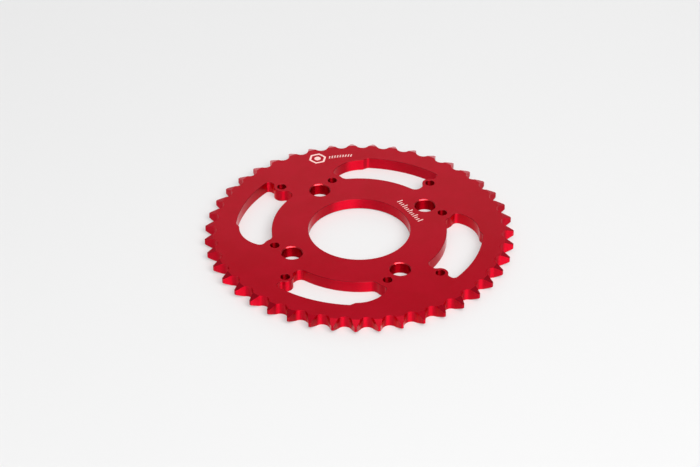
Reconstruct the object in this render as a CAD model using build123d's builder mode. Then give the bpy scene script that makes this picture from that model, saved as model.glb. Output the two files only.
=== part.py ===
from build123d import *

import os
from math import cos, radians, sin

# Rear drive sprocket for a 428 roller chain, machined from one aluminium plate.
#
# Frame: millimetres, +Z up. The origin is on the axis of the wheel, in the lower face of
# the plate, and the plate reaches up to Z = PLATE_THICKNESS. The four wheel bolts stand at
# 45 degrees to X and Y, so the arms between the windows run along the diagonals and one
# window crosses each half-axis. Angles are in degrees, counter-clockwise from +X.

# Chain and teeth
TOOTH_COUNT = 43
CHAIN_PITCH = 12.7
ROLLER_SEAT_RADIUS = 4.35
ROLLER_SEAT_HALF_ANGLE = 68.0
FLANK_RADIUS = 46.0
FLANK_SWEEP = 8.0
TIP_DIAMETER = 179.4
TIP_ROUNDING = 0.3
FIRST_GAP_ANGLE = 2.1

# Plate, and the bevel that thins the teeth from both faces
PLATE_THICKNESS = 7.2
BEVEL_START_RADIUS = 84.9
BEVEL_DEPTH_AT_TIP = 2.2

# Centre bore, with a lead-in chamfer on the lower face, which goes against the hub
BORE_DIAMETER = 59.2
BORE_LEAD_IN = 0.5

# Wheel bolt holes, chamfered on the upper face
ARM_COUNT = 4
FIRST_BOLT_ANGLE = 45.0
BOLT_CIRCLE_DIAMETER = 90.0
BOLT_HOLE_DIAMETER = 11.8
BOLT_HOLE_CHAMFER = 0.45

# Small through holes: one beside each wheel bolt, and one at the line end of each window
SMALL_HOLE_DIAMETER = 5.3
INNER_HOLE_CIRCLE_DIAMETER = 102.3
INNER_HOLE_LAG = 12.92
OUTER_HOLE_CIRCLE_DIAMETER = 124.4
OUTER_HOLE_LEAD = 16.45

# Windows: each is a lane round the hub ring that ends in a large arc at one end and along
# a radial line at the other, with a rounded boss left round the small hole at each end.
# Near the arc end a step makes the lane narrower.
WINDOW_INNER_RADIUS = 50.8
WINDOW_OUTER_RADIUS = 71.8
LINE_END_ANGLE = 62.4
ARC_END_CENTRE = (-10.5, 50.2)
ARC_END_RADIUS = 18.4
STEP_ANGLE_ON_ARC = 103.0
STEP_SLOPE = 46.0
STEP_LENGTH = 4.0
INNER_HOLE_BOSS_RADIUS = 6.4
OUTER_HOLE_BOSS_RADIUS = 4.55

# Radii of the window's corners
STEP_FILLET = 2.5
ARC_END_FILLET = 3.2
INNER_BOSS_FILLET = 4.0
RIM_SIDE_FILLET = 2.4
HUB_SIDE_FILLET = 3.8
OUTER_BOSS_RIM_FILLET = 2.3
OUTER_BOSS_HUB_FILLET = 2.8

# All other edges are broken by this much
EDGE_BREAK = 0.1

# How far shapes that trim others run past them
OVERCUT = 1.0

PITCH_RADIUS = CHAIN_PITCH / (2 * sin(radians(180 / TOOTH_COUNT)))
TIP_RADIUS = TIP_DIAMETER / 2
BORE_RADIUS = BORE_DIAMETER / 2


def polar(radius, angle, centre=(0, 0)):
    """The point at this radius and angle from a centre."""
    x = centre[0] + radius * cos(radians(angle))
    y = centre[1] + radius * sin(radians(angle))
    return (x, y)


# The turned blank: bore with its lead-in, and both bevels, which run on past the tips
bevel_slope = BEVEL_DEPTH_AT_TIP / (TIP_RADIUS - BEVEL_START_RADIUS)
blank_radius = TIP_RADIUS + OVERCUT
bevel_depth_at_blank = BEVEL_DEPTH_AT_TIP + bevel_slope * OVERCUT

with BuildPart() as sprocket_plate:
    with BuildSketch(Plane.XZ):
        with BuildLine():
            Polyline(
                (BORE_RADIUS, BORE_LEAD_IN),
                (BORE_RADIUS + BORE_LEAD_IN, 0),
                (BEVEL_START_RADIUS, 0),
                (blank_radius, bevel_depth_at_blank),
                (blank_radius, PLATE_THICKNESS - bevel_depth_at_blank),
                (BEVEL_START_RADIUS, PLATE_THICKNESS),
                (BORE_RADIUS + EDGE_BREAK, PLATE_THICKNESS),
                (BORE_RADIUS, PLATE_THICKNESS - EDGE_BREAK),
                close=True,
            )
        make_face()
    revolve(axis=Axis.Z)

# One tooth gap, centred on +X: the roller's seat, then a convex flank on each side
seat_centre = (PITCH_RADIUS, 0)
seat_bottom = polar(ROLLER_SEAT_RADIUS, 180, seat_centre)
seat_middle = polar(ROLLER_SEAT_RADIUS, 180 - ROLLER_SEAT_HALF_ANGLE / 2, seat_centre)
seat_end = polar(ROLLER_SEAT_RADIUS, 180 - ROLLER_SEAT_HALF_ANGLE, seat_centre)
flank_centre = polar(ROLLER_SEAT_RADIUS + FLANK_RADIUS, 180 - ROLLER_SEAT_HALF_ANGLE, seat_centre)
flank_middle = polar(FLANK_RADIUS, FLANK_SWEEP / 2 - ROLLER_SEAT_HALF_ANGLE, flank_centre)
flank_end = polar(FLANK_RADIUS, FLANK_SWEEP - ROLLER_SEAT_HALF_ANGLE, flank_centre)

with BuildSketch() as tooth_gap:
    with BuildLine():
        ThreePointArc(seat_bottom, seat_middle, seat_end)
        ThreePointArc(seat_end, flank_middle, flank_end)
        Polyline(flank_end, (flank_end[0], 0), seat_bottom)
    make_face()
    mirror(about=Plane.XZ)

# The toothed outline, with the corners of each tip rounded
with BuildSketch() as toothed_outline:
    Circle(TIP_RADIUS)
    with PolarLocations(0, TOOTH_COUNT, start_angle=FIRST_GAP_ANGLE):
        add(tooth_gap.sketch, mode=Mode.SUBTRACT)
    tip_corners = toothed_outline.vertices().filter_by(
        lambda corner: Vector(corner).length > TIP_RADIUS - TIP_ROUNDING
    )
    fillet(tip_corners, TIP_ROUNDING)

# Centres of the small holes at the two ends of the first window, which crosses +Y
inner_hole_centre = polar(INNER_HOLE_CIRCLE_DIAMETER / 2, FIRST_BOLT_ANGLE + 90 - INNER_HOLE_LAG)
outer_hole_centre = polar(OUTER_HOLE_CIRCLE_DIAMETER / 2, FIRST_BOLT_ANGLE + OUTER_HOLE_LEAD)

step_start = polar(ARC_END_RADIUS, STEP_ANGLE_ON_ARC, ARC_END_CENTRE)
step_end = polar(STEP_LENGTH, STEP_SLOPE, step_start)

with BuildSketch() as window:
    # The sector from the step to the line end, and the disc that closes the arc end
    with BuildLine():
        Polyline(
            (0, 0),
            (step_start[0], 0),
            step_start,
            polar(WINDOW_OUTER_RADIUS / 2, STEP_SLOPE, step_start),
            polar(WINDOW_OUTER_RADIUS * 1.5, LINE_END_ANGLE),
            close=True,
        )
    make_face()
    with Locations(ARC_END_CENTRE):
        Circle(ARC_END_RADIUS)
    # Only what lies in the lane between the hub ring and the rim, clear of the two bosses
    Circle(WINDOW_OUTER_RADIUS, mode=Mode.INTERSECT)
    Circle(WINDOW_INNER_RADIUS, mode=Mode.SUBTRACT)
    with Locations(inner_hole_centre):
        Circle(INNER_HOLE_BOSS_RADIUS, mode=Mode.SUBTRACT)
    with Locations(outer_hole_centre):
        Circle(OUTER_HOLE_BOSS_RADIUS, mode=Mode.SUBTRACT)
    # Each corner, by a point near it, and its radius
    outer_hole_radius = OUTER_HOLE_CIRCLE_DIAMETER / 2
    corner_fillets = [
        (step_start, STEP_FILLET),
        (step_end, STEP_FILLET),
        (polar(INNER_HOLE_BOSS_RADIUS, 100, inner_hole_centre), ARC_END_FILLET),
        (polar(INNER_HOLE_BOSS_RADIUS, 30, inner_hole_centre), INNER_BOSS_FILLET),
        (polar(WINDOW_OUTER_RADIUS, LINE_END_ANGLE), RIM_SIDE_FILLET),
        (polar(WINDOW_INNER_RADIUS, LINE_END_ANGLE), HUB_SIDE_FILLET),
        (polar(outer_hole_radius + OUTER_HOLE_BOSS_RADIUS, LINE_END_ANGLE), OUTER_BOSS_RIM_FILLET),
        (polar(outer_hole_radius - OUTER_HOLE_BOSS_RADIUS, LINE_END_ANGLE), OUTER_BOSS_HUB_FILLET),
    ]
    for near, radius in corner_fillets:
        corner = window.vertices().sort_by_distance(near)[0]
        fillet(corner, radius)

with sprocket_plate:
    # Windows and small holes, with their edges lightly broken on both faces
    with BuildSketch():
        with PolarLocations(0, ARM_COUNT):
            add(window.sketch)
            with Locations(inner_hole_centre, outer_hole_centre):
                Circle(SMALL_HOLE_DIAMETER / 2)
    extrude(amount=PLATE_THICKNESS, mode=Mode.SUBTRACT)
    face_edges = sprocket_plate.edges(Select.LAST).filter_by(Axis.Z, reverse=True)
    chamfer(face_edges, EDGE_BREAK)

    # Wheel bolt holes
    with BuildSketch():
        with PolarLocations(BOLT_CIRCLE_DIAMETER / 2, ARM_COUNT, start_angle=FIRST_BOLT_ANGLE):
            Circle(BOLT_HOLE_DIAMETER / 2)
    extrude(amount=PLATE_THICKNESS, mode=Mode.SUBTRACT)
    face_edges = sprocket_plate.edges(Select.LAST).filter_by(Axis.Z, reverse=True)
    lower_edges, upper_edges = face_edges.group_by(Axis.Z)
    chamfer(lower_edges, EDGE_BREAK)
    chamfer(upper_edges, BOLT_HOLE_CHAMFER)

    # Teeth
    extrude(toothed_outline.sketch, amount=PLATE_THICKNESS, mode=Mode.INTERSECT)

sprocket_plate.part.label = "sprocket_plate"

os.makedirs("parts", exist_ok=True)
export_step(sprocket_plate.part, "parts/sprocket_plate.step")
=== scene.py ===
from math import cos, pi, radians, sin

import bmesh
import bpy
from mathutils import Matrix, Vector


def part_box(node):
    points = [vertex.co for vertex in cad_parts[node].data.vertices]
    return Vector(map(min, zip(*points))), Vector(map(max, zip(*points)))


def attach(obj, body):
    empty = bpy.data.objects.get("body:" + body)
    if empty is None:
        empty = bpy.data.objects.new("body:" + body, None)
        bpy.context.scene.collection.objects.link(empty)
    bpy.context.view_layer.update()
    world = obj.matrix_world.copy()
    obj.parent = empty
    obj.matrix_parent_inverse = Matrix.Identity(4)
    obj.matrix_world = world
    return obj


# The rear sprocket as it was photographed: one red anodised plate lying on a pale floor in
# soft studio light. The CAD node keeps its shape and gets its material here. The only new
# pieces are the laser marks on the upper face, in a generic design. Lengths are in metres,
# and material patterns are laid out in millimetres.

MM = 0.001

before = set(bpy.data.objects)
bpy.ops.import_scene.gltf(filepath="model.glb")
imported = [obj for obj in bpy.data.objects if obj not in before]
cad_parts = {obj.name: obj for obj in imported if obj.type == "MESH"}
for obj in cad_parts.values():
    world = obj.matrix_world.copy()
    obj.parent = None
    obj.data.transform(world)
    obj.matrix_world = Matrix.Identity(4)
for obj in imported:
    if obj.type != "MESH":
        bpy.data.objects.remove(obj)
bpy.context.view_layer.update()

PLATE = "sprocket_plate"
BODY = "root"

plate_low, plate_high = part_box(PLATE)
MIDDLE = (plate_low + plate_high) / 2
FACE_Z = plate_high.z

# Camera: degrees to the right of the -Y axis and above the floor, and metres
CAMERA_SIDE = 13.96
CAMERA_ELEVATION = 36.45
CAMERA_DISTANCE = 1.549
CAMERA_AIM = Vector((-0.0053, -0.0011, 0))
CAMERA_LENS = 137.2
CAMERA_SENSOR = 36.0

# Room, as elevations and spreads in degrees seen from the plate
WALL_TOP = 37.0
WALL_TOP_BLUR = 3.0
BACK_WALL_SPREAD = 38.0
WALL_BLUR = 20.0
BACK_WALL_RADIANCE = 0.75
SIDE_WALL_RADIANCE = 0.35
CEILING_RADIANCE = 0.45

# Drilled holes, four of each kind: circle radius and angle of the first, and hole radius,
# in millimetres and degrees
BOLT_HOLES = (45.0, 45.0, 5.9)
INNER_SMALL_HOLES = (51.15, 32.08, 2.65)
OUTER_SMALL_HOLES = (62.2, 61.45, 2.65)

# How far outside a hole its wall and its chamfer are looked for, and how soft that limit is
WALL_REACH = 0.2
CHAMFER_REACH = 0.9
REACH_BLUR = 0.1

# Anodised colours, each from where the dye is weaker to where it is stronger
FACE_COLOURS = ((0.50, 0.0005, 0.011, 1), (0.54, 0.001, 0.015, 1))
BEVEL_COLOURS = ((0.49, 0.001, 0.013, 1), (0.54, 0.002, 0.017, 1))
# The walls' red is a lighter copy of the face's, a painted highlight for the light the walls reflect
LIT_WALL_COLOURS = ((0.65, 0.001, 0.018, 1), (0.71, 0.002, 0.022, 1))
# The drilled holes' walls get a darker copy of the wall red, painted shade for the dark inside the
# holes
SHADED_HOLE_COLOURS = ((0.38, 0.001, 0.006, 1), (0.43, 0.001, 0.008, 1))
# The small edge breaks are painted near black, painted shade along the edges
SHADED_EDGE_COLOUR = (0.10, 0.001, 0.004, 1)
# The bolt holes' chamfers are a lighter, pinker red, a painted highlight
HIGHLIGHT_CHAMFER_COLOUR = (0.62, 0.030, 0.040, 1)
GRAZING_TINT = (1.0, 0.5, 0.55, 1)
MARK_COLOURS = ((0.84, 0.46, 0.43, 1), (0.93, 0.68, 0.64, 1))
FLOOR_COLOUR = (0.44, 0.44, 0.44, 1)
WHITE = (1, 1, 1, 1)

# Heights of the surface patterns
FACE_GRAIN_HEIGHT = 0.030 * MM
TOOL_MARK_HEIGHT = 0.004 * MM
LASER_MARK_HEIGHT = 0.004 * MM

# Floor, and how far the plate stands clear of it
FLOOR_RADIUS = 4.0
FLOOR_GAP = 0.05 * MM

# Laser marks: how far they stand proud of the face and reach into it
MARK_PROUD = 0.02 * MM
MARK_SUNK = 0.02 * MM


def direction(side, elevation):
    """Unit vector towards a place at an angle to the right of -Y and an elevation."""
    flat = cos(radians(elevation))
    x = sin(radians(side)) * flat
    y = -cos(radians(side)) * flat
    return Vector((x, y, sin(radians(elevation))))


def aim(thing, target):
    """Turns a camera or a light so that it looks at a point."""
    look = Vector(target) - thing.location
    thing.rotation_euler = look.to_track_quat("-Z", "Y").to_euler()


def link(thing):
    bpy.context.scene.collection.objects.link(thing)
    return thing


# ---------------------------------------------------------------- camera

def make_camera():
    data = bpy.data.cameras.new("photo_camera")
    data.lens = CAMERA_LENS
    data.sensor_fit = "HORIZONTAL"
    data.sensor_width = CAMERA_SENSOR
    camera = link(bpy.data.objects.new("photo_camera", data))
    target = MIDDLE + CAMERA_AIM
    camera.location = target + direction(CAMERA_SIDE, CAMERA_ELEVATION) * CAMERA_DISTANCE
    aim(camera, target)
    bpy.context.scene.camera = camera


# ---------------------------------------------------------------- node helper

class Nodes:
    """Adds nodes to a material or a world, each method returning the output it makes."""

    def __init__(self, owner, shader):
        owner.use_nodes = True
        self.owner = owner
        self.tree = owner.node_tree
        self.shader = self.tree.nodes[shader]

    def feed(self, socket, value):
        if isinstance(value, bpy.types.NodeSocket):
            self.tree.links.new(value, socket)
        else:
            socket.default_value = value

    def node(self, kind, **settings):
        made = self.tree.nodes.new(kind)
        for setting, value in settings.items():
            setattr(made, setting, value)
        return made

    def math(self, operation, a, b=0.0, c=0.0, clamp=False):
        made = self.node("ShaderNodeMath", operation=operation, use_clamp=clamp)
        for socket, value in zip(made.inputs, (a, b, c)):
            self.feed(socket, value)
        return made.outputs[0]

    def vector(self, operation, a, b=(0.0, 0.0, 0.0)):
        made = self.node("ShaderNodeVectorMath", operation=operation)
        self.feed(made.inputs[0], a)
        self.feed(made.inputs[1], b)
        return made.outputs["Value" if operation in ("LENGTH", "DOT_PRODUCT") else "Vector"]

    def remap(self, value, low, high, to_low=0.0, to_high=1.0):
        made = self.node("ShaderNodeMapRange", interpolation_type="SMOOTHSTEP")
        for socket, number in zip(made.inputs, (value, low, high, to_low, to_high)):
            self.feed(socket, number)
        return made.outputs[0]

    def noise(self, vector, scale, detail=2.0):
        made = self.node("ShaderNodeTexNoise")
        self.feed(made.inputs["Vector"], vector)
        self.feed(made.inputs["Scale"], scale)
        self.feed(made.inputs["Detail"], detail)
        return made.outputs["Fac"]

    def mix(self, factor, a, b):
        made = self.node("ShaderNodeMix", data_type="RGBA")
        self.feed(made.inputs[0], factor)
        self.feed(made.inputs[6], a)
        self.feed(made.inputs[7], b)
        return made.outputs[2]

    def bump(self, height, distance, strength=1.0, after=None):
        made = self.node("ShaderNodeBump")
        self.feed(made.inputs["Height"], height)
        self.feed(made.inputs["Distance"], distance)
        self.feed(made.inputs["Strength"], strength)
        if after is not None:
            self.feed(made.inputs["Normal"], after)
        return made.outputs["Normal"]


def material_nodes(name):
    return Nodes(bpy.data.materials.new(name), "Principled BSDF")


# ---------------------------------------------------------------- materials

def near_holes(n, x, y, radius, holes, reach):
    """1 as far as reach outside the four holes of one kind, found by folding the plate in four."""
    circle, angle, hole_radius = holes
    quarter = n.math("FLOORED_MODULO", n.math("ARCTAN2", y, x), pi / 2)
    off = n.math("SUBTRACT", quarter, radians(angle))
    from_hole = n.node("ShaderNodeCombineXYZ")
    n.feed(from_hole.inputs[0], n.math("MULTIPLY_ADD", radius, n.math("COSINE", off), -circle))
    n.feed(from_hole.inputs[1], n.math("MULTIPLY", radius, n.math("SINE", off)))
    distance = n.vector("LENGTH", from_hole.outputs[0])
    return n.remap(distance, hole_radius + reach + REACH_BLUR, hole_radius + reach)


def red_anodised():
    """Dyed anodised aluminium: matt faces, milled walls, and turned bevels and bore."""
    n = material_nodes("red_anodised_finish")
    coordinates = n.node("ShaderNodeTexCoord")
    place = n.vector("SCALE", coordinates.outputs["Object"])
    n.feed(place.node.inputs["Scale"], 1 / MM)
    split = n.node("ShaderNodeSeparateXYZ")
    n.feed(split.inputs[0], place)
    x, y, z = split.outputs
    flat = n.node("ShaderNodeCombineXYZ")
    n.feed(flat.inputs[0], x)
    n.feed(flat.inputs[1], y)
    radius = n.vector("LENGTH", flat.outputs[0])

    facing = n.node("ShaderNodeSeparateXYZ")
    n.feed(facing.inputs[0], coordinates.outputs["Normal"])
    upright = n.math("ABSOLUTE", facing.outputs[2])
    on_face = n.remap(upright, 0.94, 0.99)
    on_wall = n.remap(upright, 0.5, 0.1)
    in_hole = near_holes(n, x, y, radius, BOLT_HOLES, WALL_REACH)
    for holes in (INNER_SMALL_HOLES, OUTER_SMALL_HOLES):
        in_hole = n.math("MAXIMUM", in_hole, near_holes(n, x, y, radius, holes, WALL_REACH))
    shaded_hole_wall = n.math("MULTIPLY", in_hole, on_wall)
    on_highlit_chamfer = near_holes(n, x, y, radius, BOLT_HOLES, CHAMFER_REACH)

    # Colour: the dye takes a little unevenly. The walls get a lighter red as a painted highlight, the
    # drilled holes' walls a darker red as painted shade, the small edge breaks a near black as painted
    # shade, and the bolt holes' chamfers a pinker red as a painted highlight
    cloud = n.noise(place, 0.07, 3.0)
    mottle = n.noise(place, 0.9, 3.0)
    tone = n.math("MULTIPLY_ADD", mottle, 0.35, n.math("MULTIPLY", cloud, 0.65))
    dye = n.remap(tone, 0.35, 0.65)
    face_colour = n.mix(dye, *FACE_COLOURS)
    bevel_colour = n.mix(dye, *BEVEL_COLOURS)
    lit_and_shaded_wall_colour = n.mix(shaded_hole_wall, n.mix(dye, *LIT_WALL_COLOURS), n.mix(dye, *SHADED_HOLE_COLOURS))
    edge_shade_and_highlight_colour = n.mix(on_highlit_chamfer, SHADED_EDGE_COLOUR, HIGHLIGHT_CHAMFER_COLOUR)
    sloping_colour = n.mix(n.remap(upright, 0.85, 0.80), bevel_colour, edge_shade_and_highlight_colour)
    cut_colour = n.mix(on_wall, sloping_colour, lit_and_shaded_wall_colour)
    n.feed(n.shader.inputs["Base Color"], n.mix(on_face, cut_colour, face_colour))
    n.feed(n.shader.inputs["Metallic"], 1.0)

    # Streaks across the milled walls, from the cutter's side
    stretched = n.node("ShaderNodeCombineXYZ")
    n.feed(stretched.inputs[0], x)
    n.feed(stretched.inputs[1], y)
    n.feed(stretched.inputs[2], n.math("MULTIPLY", z, 0.06))
    streak = n.noise(stretched.outputs[0], 2.4, 4.0)

    # Rings left by turning: along the radius on the bevels, along the axis in the bore
    ring_place = n.math("ADD", radius, z)
    ring_point = n.node("ShaderNodeCombineXYZ")
    n.feed(ring_point.inputs[0], ring_place)
    rings = n.noise(ring_point.outputs[0], 5.0, 3.0)
    in_bore = n.remap(radius, 31.2, 30.6)

    grain = n.noise(place, 1.8, 5.0)
    wall_height = n.mix(in_bore, streak, rings)
    cut_height = n.mix(on_wall, rings, wall_height)
    face_bump = n.bump(grain, FACE_GRAIN_HEIGHT, on_face)
    off_face = n.math("SUBTRACT", 1.0, on_face)
    cut_bump = n.bump(cut_height, TOOL_MARK_HEIGHT, off_face, after=face_bump)
    n.feed(n.shader.inputs["Normal"], cut_bump)

    face_rough = n.math("MULTIPLY_ADD", mottle, 0.10, 0.37)
    cut_rough = n.math("MULTIPLY_ADD", on_wall, 0.14, n.math("MULTIPLY_ADD", rings, 0.08, 0.22))
    rough = n.node("ShaderNodeMix", data_type="FLOAT")
    n.feed(rough.inputs[0], on_face)
    n.feed(rough.inputs[2], cut_rough)
    n.feed(rough.inputs[3], face_rough)
    n.feed(n.shader.inputs["Roughness"], rough.outputs[0])

    # Tool marks run along the walls, and spread a reflection up and down
    n.feed(n.shader.inputs["Anisotropic"], on_wall)
    n.feed(n.shader.inputs["Anisotropic Rotation"], 0.25)

    n.feed(n.shader.inputs["Specular Tint"], GRAZING_TINT)

    # The clear oxide layer, seen mostly at grazing angles; it is left off the drilled holes' walls so
    # that they reflect no pale room, as painted shade
    n.feed(n.shader.inputs["Coat Weight"], n.math("SUBTRACT", 1.0, shaded_hole_wall))
    n.feed(n.shader.inputs["Coat IOR"], 1.15)
    n.feed(n.shader.inputs["Coat Roughness"], 0.12)
    return n.owner


def laser_mark():
    """Bleached anodising: pale, dull, and hatched by the passes of the laser."""
    n = material_nodes("laser_mark_finish")
    coordinates = n.node("ShaderNodeTexCoord")
    place = n.vector("SCALE", coordinates.outputs["Object"])
    n.feed(place.node.inputs["Scale"], 1 / MM)
    hatch = n.node("ShaderNodeTexWave", bands_direction="Y")
    n.feed(hatch.inputs["Vector"], place)
    n.feed(hatch.inputs["Scale"], 2.6)
    n.feed(hatch.inputs["Distortion"], 0.6)
    speck = n.noise(place, 4.0, 3.0)
    tone = n.math("MULTIPLY_ADD", speck, 0.6, n.math("MULTIPLY", hatch.outputs["Fac"], 0.4))
    colour = n.mix(n.remap(tone, 0.25, 0.75), *MARK_COLOURS)
    n.feed(n.shader.inputs["Base Color"], colour)
    n.feed(n.shader.inputs["Metallic"], 0.0)
    n.feed(n.shader.inputs["Roughness"], n.math("MULTIPLY_ADD", speck, 0.2, 0.55))
    n.feed(n.shader.inputs["Normal"], n.bump(tone, LASER_MARK_HEIGHT))
    return n.owner


def pale_floor():
    n = material_nodes("pale_floor_finish")
    n.feed(n.shader.inputs["Base Color"], FLOOR_COLOUR)
    n.feed(n.shader.inputs["Roughness"], 0.4)
    n.feed(n.shader.inputs["Specular IOR Level"], 0.1)
    n.feed(n.shader.inputs["Emission Color"], WHITE)
    n.feed(n.shader.inputs["Emission Strength"], 0.34)
    return n.owner


# ---------------------------------------------------------------- laser marks

def add_prism(mesh, outline, holes=()):
    """Adds a thin plate with this outline, and a hole of as many points where one is given."""
    levels = (FACE_Z - MARK_SUNK, FACE_Z + MARK_PROUD)
    for loop in (outline, *holes):
        rows = [[mesh.verts.new((p[0], p[1], level)) for p in loop] for level in levels]
        for i in range(len(loop)):
            j = (i + 1) % len(loop)
            mesh.faces.new((rows[0][i], rows[0][j], rows[1][j], rows[1][i]))
        if loop is outline:
            outer = rows
        else:
            inner = rows
    if not holes:
        mesh.faces.new(outer[1])
        mesh.faces.new(tuple(reversed(outer[0])))
        return
    for level in (0, 1):
        for i in range(len(outline)):
            j = (i + 1) % len(outline)
            mesh.faces.new((outer[level][i], outer[level][j], inner[level][j], inner[level][i]))


def piece_from(mesh, name, material):
    bmesh.ops.recalc_face_normals(mesh, faces=mesh.faces)
    data = bpy.data.meshes.new(name)
    mesh.to_mesh(data)
    mesh.free()
    data.materials.append(material)
    piece = link(bpy.data.objects.new(name, data))
    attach(piece, BODY)
    return piece


def rounded_bar(centre, along, length, width):
    """Outline of a straight bar with round ends; along is its direction in radians."""
    end_radius = width / 2
    reach = length / 2 - end_radius
    steps = 8
    points = []
    for end in (0, 1):
        end_turn = along + pi * end
        end_centre = (centre[0] + reach * cos(end_turn), centre[1] + reach * sin(end_turn))
        for i in range(steps + 1):
            turn = end_turn - pi / 2 + pi * i / steps
            point = (end_centre[0] + end_radius * cos(turn), end_centre[1] + end_radius * sin(turn))
            points.append(point)
    return points


def on_circle(radius, turn, centre=(0, 0)):
    return (centre[0] + radius * cos(turn), centre[1] + radius * sin(turn))


def rounded_hexagon(centre, across_flats, turn, steps=12):
    """Outline of a hexagon whose corners are rounded by pushing a circle out towards them."""
    points = []
    for i in range(6 * steps):
        angle = 2 * pi * i / (6 * steps)
        side_angle = (angle + pi / 6) % (pi / 3) - pi / 6
        radius = across_flats / 2 / cos(side_angle) ** 0.85
        points.append(on_circle(radius, angle + turn, centre))
    return points


def make_emblem(material):
    """A hexagon outline with a round dot, on the plate near the teeth."""
    radius = 75.5 * MM
    turn = radians(123.2)
    centre = on_circle(radius, turn)
    mesh = bmesh.new()
    outline = rounded_hexagon(centre, 9.4 * MM, turn)
    hole = rounded_hexagon(centre, 7.2 * MM, turn)
    add_prism(mesh, outline, [hole])
    dot = [on_circle(1.9 * MM, 2 * pi * i / 48, centre) for i in range(48)]
    add_prism(mesh, dot)
    return piece_from(mesh, "mark_emblem", material)


def make_emblem_bars(material):
    """A row of short bars along the rim, beside the emblem."""
    radius = 74.7 * MM
    first_turn = radians(117.6)
    last_turn = radians(107.6)
    count = 9
    mesh = bmesh.new()
    for i in range(count):
        turn = first_turn + (last_turn - first_turn) * i / (count - 1)
        add_prism(mesh, rounded_bar(on_circle(radius, turn), turn - radians(20), 2.6 * MM, 0.62 * MM))
    return piece_from(mesh, "mark_emblem_bars", material)


def make_size_bars(material):
    """A straight row of bars by the bore, square to the arm, every third one longer."""
    arm = radians(45)
    distance = 34.8 * MM
    row_length = 22.4 * MM
    count = 13
    mesh = bmesh.new()
    for i in range(count):
        along = row_length * (0.5 - i / (count - 1))
        long_bar = i % 3 == 0
        length = (3.8 if long_bar else 2.4) * MM
        out = distance + (0 if long_bar else -0.7 * MM)
        centre = (out * cos(arm) - along * sin(arm), out * sin(arm) + along * cos(arm))
        add_prism(mesh, rounded_bar(centre, arm, length, 0.6 * MM))
    return piece_from(mesh, "mark_size_bars", material)


# ---------------------------------------------------------------- floor and light

def make_floor():
    mesh = bmesh.new()
    bmesh.ops.create_circle(mesh, cap_ends=True, radius=FLOOR_RADIUS, segments=96)
    data = bpy.data.meshes.new("floor")
    mesh.to_mesh(data)
    mesh.free()
    data.materials.append(pale_floor())
    floor = link(bpy.data.objects.new("floor", data))
    floor.location.z = plate_low.z - FLOOR_GAP


def softbox(name, side, elevation, distance, size, radiance):
    """A soft rectangle of light of this radiance, aimed at the plate and unseen itself."""
    data = bpy.data.lights.new(name, "AREA")
    data.shape = "RECTANGLE"
    data.size = size[0]
    data.size_y = size[1]
    data.energy = radiance * pi * size[0] * size[1]
    light = link(bpy.data.objects.new(name, data))
    light.location = MIDDLE + direction(side, elevation) * distance
    aim(light, MIDDLE)
    light.visible_camera = False


def make_room():
    """A pale wall behind the plate, dimmer ones beside it, and a dimmer ceiling."""
    n = Nodes(bpy.data.worlds.new("studio_room"), "Background")
    towards = n.node("ShaderNodeTexCoord").outputs["Generated"]
    split = n.node("ShaderNodeSeparateXYZ")
    n.feed(split.inputs[0], towards)
    flat = n.node("ShaderNodeCombineXYZ")
    n.feed(flat.inputs[0], split.outputs[0])
    n.feed(flat.inputs[1], split.outputs[1])
    behind = n.vector("DOT_PRODUCT", n.vector("NORMALIZE", flat.outputs[0]), -direction(CAMERA_SIDE, 0))
    side_edge = cos(radians(BACK_WALL_SPREAD + WALL_BLUR))
    back_edge = cos(radians(BACK_WALL_SPREAD - WALL_BLUR))
    wall = n.remap(behind, side_edge, back_edge, SIDE_WALL_RADIANCE, BACK_WALL_RADIANCE)
    wall_edge = sin(radians(WALL_TOP - WALL_TOP_BLUR))
    ceiling_edge = sin(radians(WALL_TOP + WALL_TOP_BLUR))
    above = n.remap(split.outputs[2], wall_edge, ceiling_edge)
    ceiling_part = n.math("MULTIPLY", above, CEILING_RADIANCE)
    wall_part = n.math("MULTIPLY", n.math("SUBTRACT", 1.0, above), wall)
    n.feed(n.shader.inputs["Color"], WHITE)
    n.feed(n.shader.inputs["Strength"], n.math("ADD", ceiling_part, wall_part))
    bpy.context.scene.world = n.owner


def make_light():
    # Name, degrees to the right of the camera, elevation, distance, size and radiance
    for name, beside_camera, elevation, distance, size, radiance in (
        ("key_softbox", 32, 44, 2.2, (1.8, 1.4), 5.1),
        ("front_softbox", 11, 54, 1.6, (2.0, 0.5), 2.7),
        ("overhead_softbox", 143, 84.3, 1.2, (0.50, 0.87), 1.0),
        ("backdrop_panel", 180, 28, 1.25, (0.62, 0.42), 0.55),
    ):
        softbox(name, CAMERA_SIDE + beside_camera, elevation, distance, size, radiance)
    make_room()
    bpy.context.scene.view_settings.view_transform = "Standard"


make_camera()
make_floor()
make_light()

finish = red_anodised()
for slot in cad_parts[PLATE].material_slots:
    slot.material = finish

bleached = laser_mark()
make_emblem(bleached)
make_emblem_bars(bleached)
make_size_bars(bleached)
